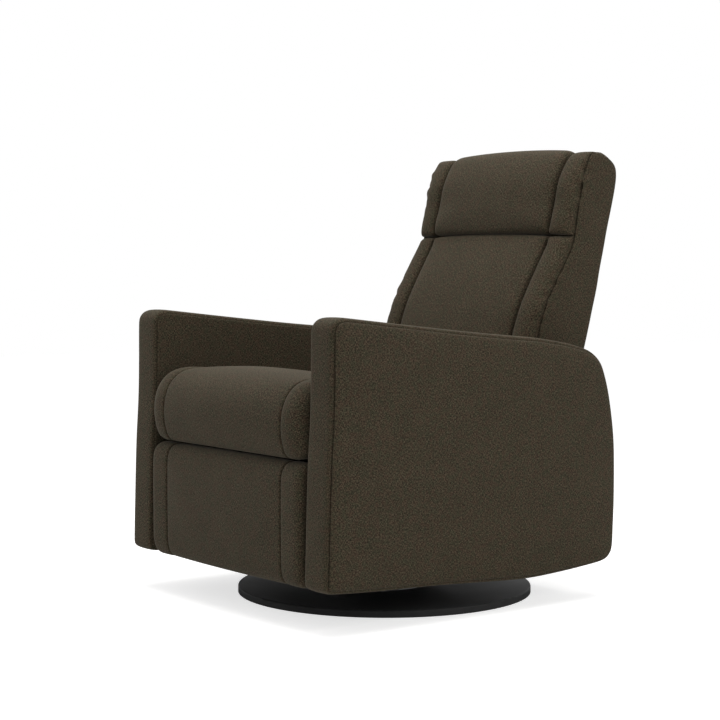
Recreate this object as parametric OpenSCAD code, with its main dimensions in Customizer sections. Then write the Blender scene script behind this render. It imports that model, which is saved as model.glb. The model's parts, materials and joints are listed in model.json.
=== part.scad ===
// Swivel glider recliner, millimetres. +Z up, the sitter faces -Y, the sitter's left is +X.
// Origin: centre of the round base, on the floor.

/* [Base] */
// Diameter of the round base
base_d = 640; // [600:1:700]
// Height of the round base
base_h = 15; // [12:0.5:20]
// Sheet thickness of the base shell
shell_t = 3; // [2:0.5:4]
// Radius of the swivel post
post_r = 25; // [22:0.5:28]
// Running clearance of turning fits, on the radius
fit = 0.06; // [0.02:0.01:0.1]

/* [Glide] */
// Length of a glide link between its pivots
link_l = 105; // [95:1:110]
// Height of the upper glide pivots
glide_z = 200; // [198:1:206]
// Distance of the glide pivots in front of and behind the centre
glide_y = 125; // [115:1:130]
// Thickness of the steel plates and links
plate_t = 4; // [3:0.25:4.5]

/* [Arms] */
// Width of the space between the arms
seat_space = 574; // [560:1:600]
// Width of one arm
arm_w = 78; // [72:1:90]
// Height of the arm at its front
arm_front_h = 606; // [590:1:630]
// Height of the arm at its rear corner
arm_rear_h = 500; // [480:1:520]
// Distance of the arm's front face from the centre
arm_front = 403; // [395:1:405]
// Distance of the arm's rear face from the centre
arm_rear = 337; // [330:1:345]
// Clearance between the arm and the floor
arm_gap = 72; // [65:1:78]
// Thickness of the padded side panels
panel_t = 14; // [10:0.5:16]
// Thickness of the padded band round the arm's edge
band_t = 12; // [10:0.5:14]
// Thickness of the board inside the arm
board_t = 18; // [15:1:22]

/* [Seat] */
// Height of the top of the seat frame
frame_z = 333; // [332:0.5:336]
// Distance of the cushion's nose from the centre
nose = 428; // [426:0.5:432]
// Height of the cushion's crown
crown_z = 502; // [490:1:510]
// Gap between the cushion and each arm
cushion_gap = 7; // [5:0.5:9]
// Thickness of the webbing straps
web_t = 2; // [1.5:0.25:2.5]

/* [Back] */
// Height of the top of the back
back_top = 966; // [940:1:985]
// Height of the crease under the head cushion
crease_z = 774; // [755:1:790]
// Distance of the crease behind the centre
crease_y = 296; // [290:1:300]
// Half width of the back
back_hw = 260; // [256:1:264]
// Half width of its centre cushions
centre_hw = 196; // [185:1:200]
// Height of the recline pivots
recline_z = 352; // [352:0.5:356]
// Distance of the recline pivots behind the centre
recline_y = 262; // [260:0.5:266]

/* [Footrest] */
// Length of a footrest link between its end pivots
foot_l = 210; // [208:0.5:212]
// Height of the footrest's lower edge
foot_low = 90; // [86:1:96]
// Height of the footrest's upper edge
foot_high = 326; // [320:1:327]
// Distance of the footrest's face from the centre
foot_face = 425; // [424:0.5:428]
// Thickness of the footrest pad
foot_pad_t = 53; // [50:0.5:54]
// Thickness of the footrest board
foot_board_t = 15; // [13:0.5:16]
// Height of the footrest's base pivots
foot_z = 98; // [97:0.5:101]

/* [Release] */
// Length of the release lever from its shaft to its tip
lever_l = 120; // [90:1:140]
// Height of the lever's shaft
lever_z = 330; // [300:1:360]
// Distance of the lever's shaft in front of the centre
lever_y = 150; // [120:1:180]

/* [Hidden] */
$fn = 48;

// colours
steel = "dimgray";
black = [0.07, 0.07, 0.07];
timber = "burlywood";
cloth = [0.26, 0.23, 0.19];
cloth_dark = [0.23, 0.20, 0.16];

// base and swivel
swivel_flange_r = 95;
swivel_flange_t = 5;
race_r = 40;
ball_r = 4;
ball_gap = 0.2;
ball_n = 16;
race_h = 4;
bolt_circle_r = 75;
bolt_r = 4;
bolt_head_r = 7;
bolt_head_h = 5;
bolt_n = 6;
flange_top = base_h + swivel_flange_t;
ball_z = flange_top + race_h + ball_r / 2;
hub_z = ball_z + ball_r / 2 + race_h;
hub_t = 6;
hub_r = post_r + 7;
hub_h = 44;
hub_len = 250;
hub_w = 130;
post_top = hub_z + hub_h + 1;

// planes across the chair, measured from the middle, outwards from the stand
arm_in = seat_space / 2;
arm_out = arm_in + arm_w;
rail_out = arm_in - 35;
rail_w = 24;
rail_in = rail_out - rail_w;
layer_gap = 2;
plane_d = rail_in - plate_t;
plane_a = plane_d - layer_gap - plate_t;
plane_b = plane_a - layer_gap - plate_t;
plate_gap = 12;
plane_side = plane_b - plate_gap - plate_t;
link_gap = 3;
plane_link = plane_side - link_gap - plate_t;
plane_stand = plane_link - link_gap - plate_t;

// glide
beam_h = 25;
beam_w = 30;
beam_y = 105;
glide_pin_r = 6;
pin_end_gap = 1.5;
link_r = 14;
lower_z = glide_z - link_l;
stand_foot = 150;
stand_top_r = 15;
stand_hole_r = 30;

// chassis
tube = 25;
tube_y = 200;
tube_z = 225;
tube_top = tube_z + tube;
track_wall = 3;
slide_gap = 0.3;
tongue_w = 14;
tongue_x = rail_out - rail_w / 2 - tongue_w / 2;
rail_h = 33;
rail_z = frame_z - rail_h;
track_lip = 35;
track_rear = 240;
apron_t = 18;
apron_y = arm_rear - 37;
apron_low = arm_gap + 23;
apron_top = recline_z - 7;
apron_gap = 0.3;

// seat
rail_front = 335;
rail_rear = 285;
cushion_z = frame_z + web_t;
cushion_hw = arm_in - cushion_gap;
cushion_side_hw = 220;
cushion_side_drop = 6;
cushion_rear = 140;
seat_cross_w = 50;
seat_cross_t = 16;
web_w = 50;
web_n = 5;
recline_pin_r = 6;
ear_r = 14;

// back
back_foot = 385;
back_foot_drop = 12;
back_seat_z = 490;
back_seat_y = 162;
back_bow = 14;
rear_y = 349;
rear_z = 525;
rear_lean = 13.8;
cover_t = 8;
stile_t = 22;
stile_w = 40;
stile_low = 400;
stile_high = back_top - 71;
back_rail_h = 60;
bolster_set = 12;
bolster_low = 405;
crease_gap = 5;
head_lean_y = 54;
head_h = back_top - crease_z;
// the head cushion's front, as shares of its height: behind the crease, above the crease
head_curve = [[-0.02, 0.125], [0.036, 0.35], [0.09, 0.605], [0.177, 0.79]];
head_round = 26;
crown_drop = 56;

// footrest linkage: every link turns by an equal share of one drive, d = 0 folded to 1 open
phi0 = -4;
phi1 = 22;
psi0 = 84;
psi1 = 6;
board_turn = 80;
foot_h = foot_l / 2;
link_hw = 8;
foot_pin_r = 4;
base_pin_r = 5;
slot_gap = 0.5;
open_gap = 0.3;
guide_over = 26;
pin_to_board = 20.5;
foot_hw = arm_in - cushion_gap;
foot_side_hw = 215;
board_back_y = -(foot_face - foot_pad_t - foot_board_t);
board_hw = foot_hw - 20;
board_set = 9;
drive_tube_r = 8;
slot_steps = 16;
slot_wall = 5.5;

// release lever
lever_r = 5;
lever_hw = 11;
lever_t = 10;
lever_off = 4;
lever_droop = 8;

// ---- helpers -------------------------------------------------------------------------------
function unit(v) = v / norm(v);
function lerp(a, b, t) = a + (b - a) * t;
function around(c, r, a) = c + r * [cos(a), sin(a)];
function arc(c, r, a0, a1, n) = [for (i = [0:n]) around(c, r, lerp(a0, a1, i / n))];
// the outline moved inwards by d; the points run anticlockwise
function inset(p, d) = [for (i = [0:len(p) - 1])
    let (a = p[(i + len(p) - 1) % len(p)], b = p[i], c = p[(i + 1) % len(p)],
         e = unit(b - a), f = unit(c - b), m = [-e[1], e[0]], n = [-f[1], f[0]])
    b + (m + n) * d / (1 + m * n)];

// the outline of a strip with round ends, r either side of a path
function ribbon(path, r, n = 8) = let (m = len(path) - 1,
        t = [for (i = [0:m]) unit(path[min(i + 1, m)] - path[max(i - 1, 0)])],
        side = [for (v = t) r * [-v[1], v[0]]],
        a = atan2(side[m][1], side[m][0]), b = atan2(-side[0][1], -side[0][0]))
    concat([for (i = [0:m]) path[i] + side[i]], [for (k = [1:n - 1]) around(path[m], r, a - 180 * k / n)],
        [for (i = [m:-1:0]) path[i] - side[i]], [for (k = [1:n - 1]) around(path[0], r, b - 180 * k / n)]);

// a side outline of points (y, z), extruded across from x0 to x1
module across(x0, x1) translate([x0, 0, 0]) rotate([90, 0, 90]) linear_extrude(x1 - x0) children();
// a shaft along X through the point p = (y, z)
module shaft(p, r, x0, x1) translate([x0, p[0], p[1]]) rotate([0, 90, 0]) cylinder(r = r, h = x1 - x0);
module right_side() mirror([1, 0, 0]) children();
// a link between two points (y, z): round eyes of radius r, and a shank a little narrower
shank = 0.9;
module bar(a, b, r) {
    along = b - a;
    translate(a) rotate(atan2(along[1], along[0])) translate([0, -shank * r])
        square([norm(along), 2 * shank * r]);
    translate(a) circle(r);
    translate(b) circle(r);
}

// ---- base ----------------------------------------------------------------------------------
module bolt_places() {
    for (i = [0:bolt_n - 1]) rotate(i * 360 / bolt_n) translate([bolt_circle_r, 0, 0]) children();
}

module base_board() color(timber) difference() {
    cylinder(r = base_d / 2 - shell_t, h = base_h - shell_t, $fn = 128);
    bolt_places() translate([0, 0, shell_t - 0.5]) cylinder(r = bolt_r + fit, h = base_h);
}

module base_shell() color(black) difference() {
    rotate_extrude($fn = 128) {
        square([base_d / 2 - shell_t, base_h]);
        square([base_d / 2, base_h - shell_t]);
        translate([base_d / 2 - shell_t, base_h - shell_t]) circle(shell_t);
    }
    translate([0, 0, -1]) cylinder(r = base_d / 2 - shell_t, h = base_h - shell_t + 1, $fn = 128);
    bolt_places() cylinder(r = bolt_r + fit, h = base_h + 1);
}

module swivel_pedestal() color(steel) difference() {
    union() {
        translate([0, 0, base_h]) cylinder(r = swivel_flange_r, h = swivel_flange_t, $fn = 96);
        translate([0, 0, base_h]) cylinder(r = race_r + 2 * ball_r, h = swivel_flange_t + race_h);
        translate([0, 0, base_h]) cylinder(r = post_r, h = post_top - base_h);
    }
    rotate_extrude() translate([race_r, ball_z]) circle(ball_r + ball_gap);
    bolt_places() translate([0, 0, base_h - 1]) cylinder(r = bolt_r + fit, h = swivel_flange_t + 2);
    translate([0, 0, base_h - 1]) cylinder(r = post_r - 5, h = post_top);
}

module bearing_balls() color("silver") {
    for (i = [0:ball_n - 1]) rotate(i * 360 / ball_n) translate([race_r, 0, ball_z]) sphere(ball_r, $fn = 24);
}

module base_bolts() color("silver") bolt_places() {
    translate([0, 0, flange_top]) cylinder(r = bolt_head_r, h = bolt_head_h, $fn = 6);
    translate([0, 0, shell_t]) cylinder(r = bolt_r, h = flange_top - shell_t + 1, $fn = 24);
}

// ---- turntable -----------------------------------------------------------------------------
module swivel_hub() color(steel) difference() {
    union() {
        translate([-hub_w / 2, -hub_len / 2, hub_z]) cube([hub_w, hub_len, hub_t]);
        translate([0, 0, hub_z - race_h]) cylinder(r = race_r + 2 * ball_r, h = race_h + hub_t);
        translate([0, 0, hub_z - race_h]) cylinder(r = hub_r, h = race_h + hub_h);
    }
    rotate_extrude() translate([race_r, ball_z]) circle(ball_r + 1.5 * ball_gap);
    translate([0, 0, hub_z - race_h - 1]) cylinder(r = post_r + fit, h = hub_h + 2 * race_h);
}

module glide_beam(y) color(black)
    translate([-plane_stand, y - beam_w / 2, hub_z + hub_t]) cube([2 * plane_stand, beam_w, beam_h]);
module glide_beam_front() glide_beam(-beam_y);
module glide_beam_rear() glide_beam(beam_y);

module glide_stand() color(black) {
    difference() {
        across(plane_stand, plane_stand + plate_t) union() {
            polygon([[-stand_foot, hub_z + hub_t], [stand_foot, hub_z + hub_t],
                [glide_y + stand_top_r, glide_z], [-glide_y - stand_top_r, glide_z]]);
            for (s = [-1, 1]) translate([s * glide_y, glide_z]) circle(stand_top_r);
        }
        for (s = [-1, 1]) shaft([s * glide_y / 2, (glide_z + hub_z) / 2], stand_hole_r, 0, arm_in);
    }
    for (s = [-1, 1]) shaft([s * glide_y, glide_z], glide_pin_r, plane_stand, plane_side - pin_end_gap);
}
module glide_stand_left() glide_stand();
module glide_stand_right() right_side() glide_stand();

// ---- glide links ---------------------------------------------------------------------------
module glide_link(y) color("gray") difference() {
    across(plane_link, plane_link + plate_t) bar([y, glide_z], [y, lower_z], link_r);
    shaft([y, glide_z], glide_pin_r + fit, 0, arm_in);
    shaft([y, lower_z], glide_pin_r + fit, 0, arm_in);
}
module glide_link_front_left() glide_link(-glide_y);
module glide_link_front_right() right_side() glide_link(-glide_y);
module glide_link_rear_left() glide_link(glide_y);
module glide_link_rear_right() right_side() glide_link(glide_y);

// ---- chassis -------------------------------------------------------------------------------
module tube_cut(y, c) translate([-arm_out, y - tube / 2 - c, tube_z - c])
    cube([2 * arm_out, tube + 2 * c, tube + 2 * c]);

plate_end = tube_y + tube / 2 + 5;
module side_plate() color(black) {
    difference() {
        across(plane_side, plane_side + plate_t) polygon([
            [-plate_end, tube_z - 10], [-glide_y - link_r, lower_z], [-glide_y, lower_z - link_r],
            [glide_y, lower_z - link_r], [glide_y + link_r, lower_z],
            [plate_end, tube_z - 10], [plate_end, tube_top + 10], [-plate_end, tube_top + 10]]);
        for (y = [-tube_y, tube_y]) tube_cut(y, 0);
    }
    for (s = [-1, 1])
        shaft([s * glide_y, lower_z], glide_pin_r, plane_stand + plate_t + pin_end_gap, plane_side);
}
module side_plate_left() side_plate();
module side_plate_right() right_side() side_plate();

module cross_tube(y) color(black)
    translate([-arm_in - arm_w / 2 + board_t / 2, y - tube / 2, tube_z])
        cube([2 * arm_in + arm_w - board_t, tube, tube]);
module cross_tube_front() cross_tube(-tube_y);
module cross_tube_rear() cross_tube(tube_y);

module seat_track() color("gray") difference() {
    translate([tongue_x - slide_gap - track_wall, -tube_y - tube / 2, tube_top])
        cube([tongue_w + 2 * slide_gap + 2 * track_wall, tube_y + tube / 2 + track_rear, track_lip]);
    translate([tongue_x - slide_gap, -tube_y - tube, tube_top + track_wall])
        cube([tongue_w + 2 * slide_gap, 2 * tube_y + 2 * tube + track_rear, track_lip]);
}
module seat_track_left() seat_track();
module seat_track_right() right_side() seat_track();

module rear_apron() color(cloth_dark)
    translate([-arm_in + apron_gap, apron_y, apron_low])
        cube([2 * arm_in - 2 * apron_gap, apron_t, apron_top - apron_low]);

toe_r = 24;
toe_rise = 15;
heel_r = 20;
heel_rise = 12;
toe_kick = 15;
corner_r = 26;
brow_r = 18;
function arm_outline() = concat(
    arc([-arm_front - toe_kick + toe_r, arm_gap + toe_rise + toe_r], toe_r, 180, 265, 4),
    [[0, arm_gap]],
    arc([arm_rear - heel_r, arm_gap + heel_rise + heel_r], heel_r, 275, 360, 4),
    [[arm_rear, arm_rear_h - 160], [arm_rear - 9, arm_rear_h - 109]],
    arc([arm_rear - 31 - corner_r, arm_rear_h - corner_r / 2], corner_r, 15, 55, 4),
    [[arm_rear - 116, arm_rear_h + 40], [arm_rear - 215, arm_rear_h + 57]],
    arc([-arm_front + brow_r, arm_front_h - brow_r + 4], brow_r, 84, 176, 5),
    [[-arm_front - 6, arm_front_h - 200]]);

module arm_outer_panel(hole = false) color(cloth) difference() {
    across(arm_out - panel_t, arm_out) polygon(arm_outline());
    if (hole) shaft([-lever_y, lever_z], lever_r + fit, arm_in, arm_out + 1);
}
module arm_outer_panel_left() arm_outer_panel();
module arm_outer_panel_right() right_side() arm_outer_panel(true);

module arm_inner_panel() color(cloth_dark) difference() {
    across(arm_in, arm_in + panel_t) polygon(arm_outline());
    for (y = [-tube_y, tube_y]) tube_cut(y, 0.2);
}
module arm_inner_panel_left() arm_inner_panel();
module arm_inner_panel_right() right_side() arm_inner_panel();

module arm_band() color(cloth) difference() {
    across(arm_in + panel_t, arm_out - panel_t) polygon(arm_outline());
    across(0, arm_out) polygon(inset(arm_outline(), band_t));
}
module arm_band_left() arm_band();
module arm_band_right() right_side() arm_band();

module arm_board(hole = false) color(timber) difference() {
    across(arm_in + arm_w / 2 - board_t / 2, arm_in + arm_w / 2 + board_t / 2)
        polygon(inset(arm_outline(), band_t));
    if (hole) shaft([-lever_y, lever_z], lever_r + fit, arm_in, arm_out);
}
module arm_board_left() arm_board();
module arm_board_right() right_side() arm_board(true);

// ---- seat ----------------------------------------------------------------------------------
// footrest linkage points, as (y, z)
function dir(a) = [-cos(a), sin(a)];
function phi(d) = lerp(phi0, phi1, d);
function psi(d) = lerp(psi0, psi1, d);
foot_tip = [board_back_y + pin_to_board, foot_z + 2 * foot_l * cos(psi0) * sin(phi0)];
foot_base = [foot_tip[0] + 2 * foot_l * cos(psi0) * cos(phi0), foot_z];
function cam_point(d) = foot_base + foot_l * sin(psi(d)) * dir(phi(d) + 90);
foot_cross = foot_base + foot_h * dir(phi0 + psi0);
foot_top = foot_base + foot_l * dir(phi0 + psi0);
foot_cam = cam_point(0);
foot_low_pin = foot_cam + foot_l * dir(phi0 - psi0);
foot_cross2 = foot_top + foot_h * dir(phi0 - psi0);
// the guide pin's path, seen from the footrest's bracket
function guide_point(d) = foot_tip + guide_over * dir(phi(d) + psi(d) - board_turn * d)
    - foot_h * dir(phi(d) - psi(d) - board_turn * d);

cam_path = [for (i = [0:slot_steps]) cam_point(i / slot_steps)];
guide_path = [for (i = [0:slot_steps]) guide_point(i / slot_steps)];
cam_plate_top = [cam_path[0][0] + 8, frame_z - 13];
cam_plate_path = concat([cam_plate_top], [for (i = [0:4]) cam_point(i / 4)], [foot_base]);

module seat_side() color(black) {
    // rail, with the tongue that runs in the track under it
    translate([rail_in, -rail_front, rail_z]) cube([rail_w, rail_front + rail_rear, rail_h]);
    translate([tongue_x, -tube_y, tube_top + track_wall + slide_gap])
        cube([tongue_w, tube_y + track_rear - tube, rail_z - tube_top - track_wall - slide_gap]);
    // plate with the footrest's base pivot and cam slot
    difference() {
        across(plane_d, plane_d + plate_t) polygon(ribbon(cam_plate_path, foot_pin_r + slot_wall));
        across(plane_d - 1, plane_d + plate_t + 1) polygon(ribbon(cam_path, foot_pin_r + slot_gap));
    }
    shaft(foot_base, base_pin_r, plane_a + open_gap, plane_d + 1);
    // ear with the recline pin
    across(rail_out, rail_out + plate_t) union() {
        translate([recline_y, recline_z]) circle(ear_r);
        translate([recline_y - ear_r, rail_z]) square([2 * ear_r, recline_z - rail_z]);
    }
    shaft([recline_y, recline_z], recline_pin_r, rail_out - 2 * plate_t, rail_out + 1);
}
module seat_side_left() seat_side();
module seat_side_right() right_side() seat_side();

module seat_cross(y, hw) color(timber)
    translate([-hw, y, frame_z - seat_cross_t]) cube([2 * hw, seat_cross_w, seat_cross_t]);
module seat_rail_front() seat_cross(-rail_front, plane_d);
module seat_rail_rear() seat_cross(rail_rear - seat_cross_w, rail_in);

module seat_webbing() color("darkkhaki") for (i = [0:web_n - 1]) {
    x = lerp(-rail_in + web_w, rail_in - web_w, i / (web_n - 1));
    translate([x - web_w / 2, -rail_front, frame_z]) cube([web_w, rail_front + rail_rear, web_t]);
}

nose_z = 397;
nose_top_y = 50;
// behind the nose the top falls back from its crest, by this much for each millimetre
crest_y = 340;
seat_rake = 0.14;
function seat_top(y) = [y, crown_z - seat_rake * (crest_y + y)];
function cushion_outline() = [[cushion_rear, cushion_z], seat_top(cushion_rear + 6),
    [-crest_y + 30, crown_z - 2], [-crest_y, crown_z],
    [-nose + nose_top_y, crown_z - 13], [-nose + 22, crown_z - 34], [-nose + 6, nose_z + 40], [-nose, nose_z],
    [-nose + 4, nose_z - 35], [-nose + 15, cushion_z + 8], [-nose + 30, cushion_z]];
module seat_cushion() color(cloth) {
    across(-cushion_side_hw, cushion_side_hw) polygon(cushion_outline());
    for (s = [-1, 1]) across(s > 0 ? cushion_side_hw : -cushion_hw, s > 0 ? cushion_hw : -cushion_side_hw)
        intersection() {
            polygon(inset(cushion_outline(), cushion_side_drop));
            translate([-nose, cushion_z]) square([2 * nose, crown_z]);
        }
}

// ---- back ----------------------------------------------------------------------------------
function rear_at(z, depth) = [rear_y - depth + (z - rear_z) * tan(rear_lean), z];
// front line of the centre cushion up to the crease, set back by d
function lumbar_line(d, low) = concat([[back_seat_y - 12 + d, low], [back_seat_y - 10 + d, back_seat_z - 35]],
    [for (i = [0:6]) let (t = i / 7) [lerp(back_seat_y, crease_y, t) - back_bow * sin(180 * t) + d,
        lerp(back_seat_z, crease_z, t)]]);
// front line of the head cushion, from the crease to the top
function head_line(d) = concat([[crease_y + 2 + d, crease_z + crease_gap]],
    [for (p = head_curve) [crease_y + p[0] * head_h + d, crease_z + p[1] * head_h]],
    [[crease_y + head_lean_y + d, back_top - 10]]);
// the rounded top, from the head cushion to the rear face, at depth d under the cover's surface
function back_crown(d) = [[crease_y + head_lean_y + 24, back_top - d],
    [rear_at(back_top, 0)[0] - crown_drop - 0.2 * d, back_top - 7 - d],
    [rear_at(back_top, 0)[0] - head_round - d, back_top - head_round - d],
    rear_at(back_top - crown_drop - 0.5 * d, d)];

// depths under the cover's rear face: the frame's front, the webbing's front, the pads' back
contact_gap = 0.1;
frame_depth = cover_t + stile_t;
web_depth = frame_depth + contact_gap + web_t;
pad_depth = web_depth + contact_gap;
pad_crown = [for (i = [0, 1]) back_crown(cover_t)[i]];
module lumbar_cushion() color(cloth) across(-centre_hw, centre_hw) polygon(concat(
    lumbar_line(0, back_foot), [[crease_y - 4, crease_z - crease_gap]],
    [rear_at(crease_z, pad_depth), rear_at(back_foot, pad_depth)]));

module head_cushion() color(cloth) across(-centre_hw, centre_hw) polygon(concat(
    head_line(0), pad_crown,
    [rear_at(back_top - crown_drop, pad_depth), rear_at(crease_z, pad_depth)]));

module back_bolster() color(cloth_dark) across(centre_hw, back_hw - cover_t) polygon(concat(
    lumbar_line(bolster_set, bolster_low), [[crease_y - 2 + bolster_set, crease_z]], head_line(bolster_set),
    pad_crown, [rear_at(back_top - crown_drop, pad_depth), rear_at(bolster_low, pad_depth)]));
module back_bolster_left() back_bolster();
module back_bolster_right() right_side() back_bolster();

hinge_plate_x = rail_out - layer_gap;
stile_in = hinge_plate_x - plate_t - stile_w;
hinge_plate_up = 110;
hinge_plate_hw = 10;
module back_stile() color(black) {
    across(stile_in, stile_in + stile_w) polygon([rear_at(stile_low, frame_depth),
        rear_at(stile_low, cover_t), rear_at(stile_high, cover_t), rear_at(stile_high, frame_depth)]);
    // hinge plate, down to the recline pin
    difference() {
        across(hinge_plate_x - plate_t - 1, hinge_plate_x) union() {
            translate([recline_y, recline_z]) circle(ear_r - 1);
            polygon(ribbon([[recline_y, recline_z], rear_at(stile_low, cover_t + stile_t / 2),
                rear_at(stile_low + hinge_plate_up, cover_t + stile_t / 2)], hinge_plate_hw));
        }
        shaft([recline_y, recline_z], recline_pin_r + fit, 0, arm_in);
    }
}
module back_stile_left() back_stile();
module back_stile_right() right_side() back_stile();

module back_rail(z) color(timber) across(-stile_in, stile_in) polygon([rear_at(z, frame_depth),
    rear_at(z, cover_t), rear_at(z + back_rail_h, cover_t), rear_at(z + back_rail_h, frame_depth)]);
module back_rail_top() back_rail(stile_high - back_rail_h);
module back_rail_bottom() back_rail(stile_low);

back_web_n = 6;
module back_webbing() color("darkkhaki") for (i = [0:back_web_n - 1]) {
    z = lerp(stile_low + web_w, stile_high - 2 * web_w, i / (back_web_n - 1));
    across(-stile_in - stile_w, stile_in + stile_w) polygon([
        rear_at(z, web_depth), rear_at(z, web_depth - web_t),
        rear_at(z + web_w, web_depth - web_t), rear_at(z + web_w, web_depth)]);
}

function cover_outline() = concat(lumbar_line(3 * bolster_set, back_foot), head_line(2 * bolster_set),
    back_crown(0), [rear_at(back_foot - back_foot_drop, 0)]);
module back_cover() color(cloth) difference() {
    across(-back_hw, back_hw) polygon(cover_outline());
    across(-back_hw + cover_t, back_hw - cover_t) polygon(concat(
        [[0, back_foot - 2 * back_foot_drop], [0, back_top - cover_t]], back_crown(cover_t),
        [rear_at(back_foot - 2 * back_foot_drop, cover_t)]));
}

// ---- footrest ------------------------------------------------------------------------------
// drive arm: turns on the seat's base pin, carries the crossing pin and the top pin
module footrest_arm() color("gray") {
    difference() {
        across(plane_a, plane_a + plate_t) bar(foot_base, foot_top, link_hw);
        shaft(foot_base, base_pin_r + fit, 0, arm_in);
    }
    for (p = [foot_cross, foot_top]) shaft(p, foot_pin_r, plane_b - 1, plane_a);
}
module footrest_arm_left() footrest_arm();
module footrest_arm_right() right_side() footrest_arm();

module footrest_drive_tube() color("gray") shaft(foot_base, drive_tube_r, -plane_a, plane_a);

// cross link: its upper pin runs in the cam slot, its lower pin carries the guide link
module footrest_cross() color("gray") {
    difference() {
        across(plane_b, plane_b + plate_t) bar(foot_cam, foot_low_pin, link_hw);
        shaft(foot_cross, foot_pin_r + fit, 0, arm_in);
    }
    shaft(foot_cam, foot_pin_r, plane_b + plate_t, plane_d + plate_t - 0.5);
    shaft(foot_low_pin, foot_pin_r, plane_b + plate_t, plane_a + plate_t + 1);
}
module footrest_cross_left() footrest_cross();
module footrest_cross_right() right_side() footrest_cross();

// reach link: from the drive arm's top pin down to the footrest
module footrest_reach() color("gray") {
    difference() {
        across(plane_b, plane_b + plate_t) bar(foot_top, foot_tip, link_hw);
        shaft(foot_top, foot_pin_r + fit, 0, arm_in);
        shaft(foot_tip, foot_pin_r + fit, 0, arm_in);
    }
    shaft(foot_cross2, foot_pin_r, plane_b + plate_t, plane_a + plate_t + 1);
}
module footrest_reach_left() footrest_reach();
module footrest_reach_right() right_side() footrest_reach();

// guide link: from the cross link's lower pin, over the reach link, to the bracket's slot
module footrest_guide() color("gray") {
    difference() {
        across(plane_a, plane_a + plate_t) bar(foot_low_pin, guide_point(0), link_hw);
        shaft(foot_cross2, foot_pin_r + fit, 0, arm_in);
        shaft(foot_low_pin, foot_pin_r + open_gap, 0, arm_in);
    }
    shaft(guide_point(0), foot_pin_r, plane_a + plate_t, plane_d + plate_t - 0.5);
}
module footrest_guide_left() footrest_guide();
module footrest_guide_right() right_side() footrest_guide();

module footrest_bracket() color(black) {
    bottom = foot_tip[1] - link_hw;
    high = guide_path[0] + [foot_pin_r + slot_wall, foot_pin_r + slot_wall];
    rear = guide_path[slot_steps] + [foot_pin_r + slot_wall, 0];
    difference() {
        across(plane_d, plane_d + plate_t) polygon([[board_back_y, bottom], [foot_tip[0] + link_hw, bottom],
            rear - [0, 2 * foot_pin_r], rear + [0, 2 * foot_pin_r], high, [board_back_y, high[1] + link_hw]]);
        across(plane_d - 1, plane_d + plate_t + 1) polygon(ribbon(guide_path, foot_pin_r + slot_gap));
    }
    shaft(foot_tip, foot_pin_r, plane_b - 1, plane_d + 1);
}
module footrest_bracket_left() footrest_bracket();
module footrest_bracket_right() right_side() footrest_bracket();

module footrest_board() color(timber)
    translate([-board_hw, pad_back_y, foot_low + board_set])
        cube([2 * board_hw, foot_board_t, foot_high - foot_low - 2 * board_set]);

pad_round = 12;
pad_side_drop = 5;
pad_back_y = board_back_y - foot_board_t;
function pad_outline() = let (f = -foot_face, r = pad_round) [
    [f + r, foot_low + 2], [pad_back_y, foot_low], [pad_back_y, foot_high - 3],
    [f + 3 * r, foot_high], [f + 2 * r, foot_high - 1], [f + 0.8 * r, foot_high - 8],
    [f + 0.15 * r, foot_high - 21], [f, foot_high - 36], [f, foot_low + 35], [f + 0.4 * r, foot_low + 15]];
module footrest_pad() color(cloth) {
    across(-foot_side_hw, foot_side_hw) polygon(pad_outline());
    for (s = [-1, 1]) across(s > 0 ? foot_side_hw : -foot_hw, s > 0 ? foot_hw : -foot_side_hw)
        polygon([for (p = pad_outline()) [p[0] < pad_back_y - 1 ? p[0] + pad_side_drop : p[0],
            lerp(p[1], (foot_low + foot_high) / 2, 0.03)]]);
}

// ---- release lever -------------------------------------------------------------------------
module release_lever() color(black) right_side() {
    pivot = [-lever_y, lever_z];
    tip = pivot + (lever_l - lever_hw) * [-cos(lever_droop), -sin(lever_droop)];
    across(arm_out + lever_off, arm_out + lever_off + lever_t) bar(pivot, tip, lever_hw);
    shaft(pivot, lever_r, arm_in + arm_w / 2 - board_t / 2, arm_out + lever_off + 1);
    shaft(pivot, 2 * lever_r, arm_out + 0.5, arm_out + lever_off + 1);
}

// ---- parts ---------------------------------------------------------------------------------
base_board();
base_shell();
swivel_pedestal();
bearing_balls();
base_bolts();
swivel_hub();
glide_beam_front();
glide_beam_rear();
glide_stand_left();
glide_stand_right();
glide_link_front_left();
glide_link_front_right();
glide_link_rear_left();
glide_link_rear_right();
side_plate_left();
side_plate_right();
cross_tube_front();
cross_tube_rear();
seat_track_left();
seat_track_right();
rear_apron();
arm_outer_panel_left();
arm_outer_panel_right();
arm_inner_panel_left();
arm_inner_panel_right();
arm_band_left();
arm_band_right();
arm_board_left();
arm_board_right();
seat_side_left();
seat_side_right();
seat_rail_front();
seat_rail_rear();
seat_webbing();
seat_cushion();
back_stile_left();
back_stile_right();
back_rail_top();
back_rail_bottom();
back_webbing();
lumbar_cushion();
head_cushion();
back_bolster_left();
back_bolster_right();
back_cover();
footrest_arm_left();
footrest_arm_right();
footrest_drive_tube();
footrest_cross_left();
footrest_cross_right();
footrest_reach_left();
footrest_reach_right();
footrest_guide_left();
footrest_guide_right();
footrest_bracket_left();
footrest_bracket_right();
footrest_board();
footrest_pad();
release_lever();
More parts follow.
